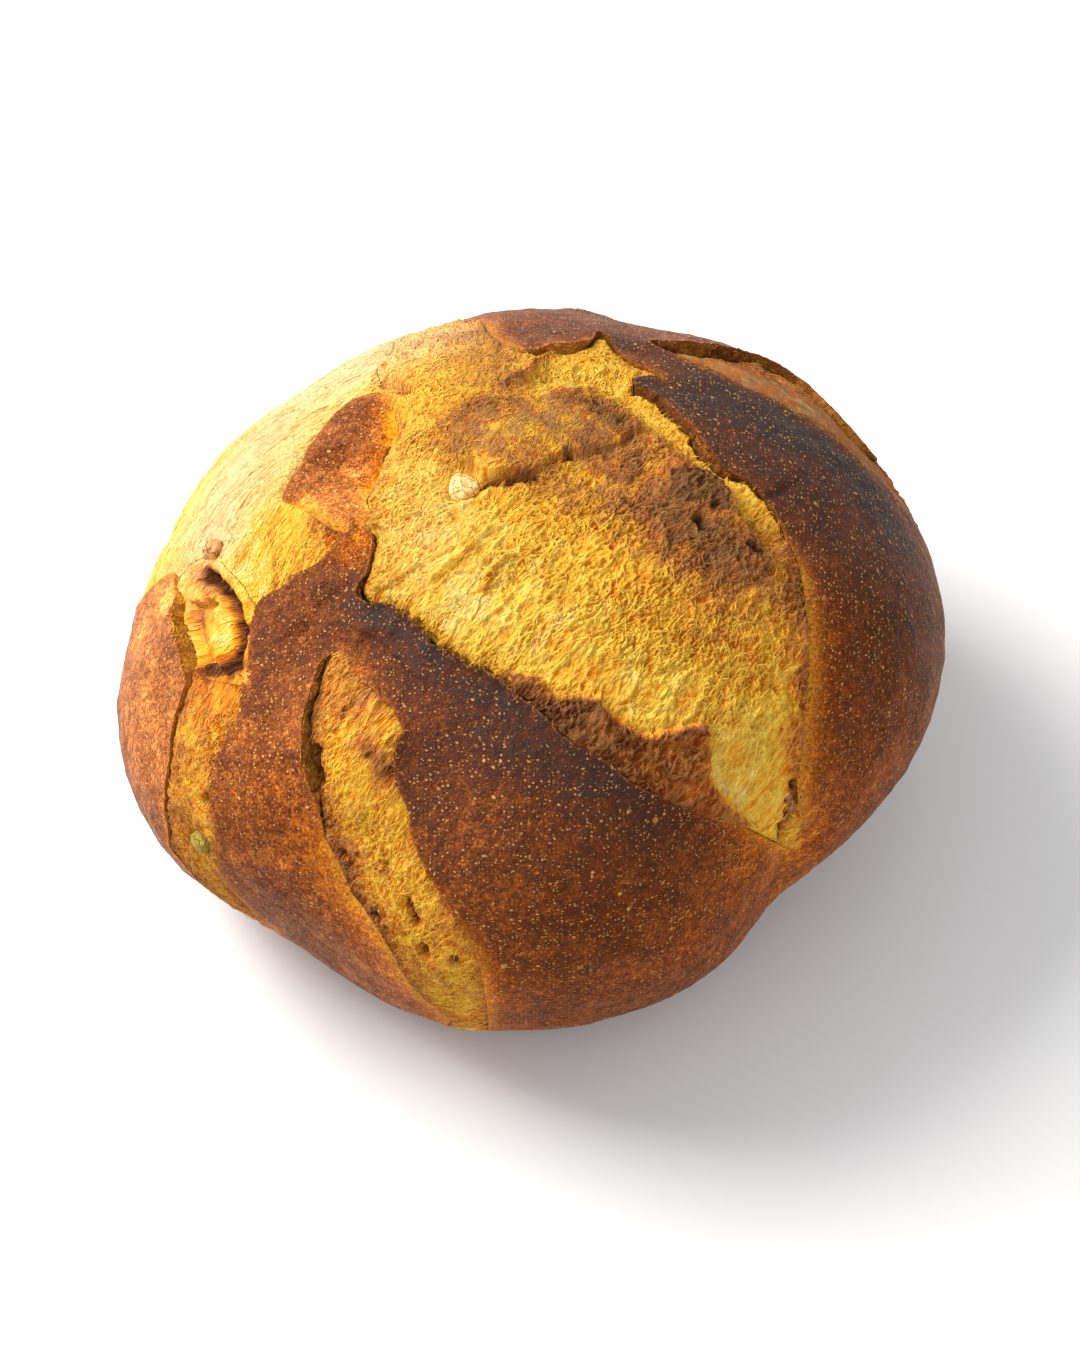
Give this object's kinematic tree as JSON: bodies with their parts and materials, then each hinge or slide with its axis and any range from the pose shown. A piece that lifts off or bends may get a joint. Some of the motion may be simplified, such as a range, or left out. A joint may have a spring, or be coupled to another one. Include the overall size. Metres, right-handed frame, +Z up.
{
  "type": "pumpkin bread",
  "caption": "Round hearth loaf with a browned crust that burst open over soft yellow pumpkin crumb, with bits of nut and seed showing.",
  "frame": {"origin": "middle of the flat base, straight below the heart that the loaf swells from", "axes": "+Z up through the crown, -Y towards the front, +X to the right as seen from the front"},
  "size_m": [0.2124, 0.213, 0.1227],
  "materials": {
    "crust": "baked crust, satin brown with pale specks",
    "crumb": "torn bread crumb, matt yellow",
    "nut": "matt broken nut",
    "seed": "matt toasted seed"
  },
  "bodies": {
    "root": {"loaf": "crust", "nut_crown": "nut", "nut_side": "nut", "seed_strip": "seed", "seed_tip": "seed"}
  },
  "joints": []
}
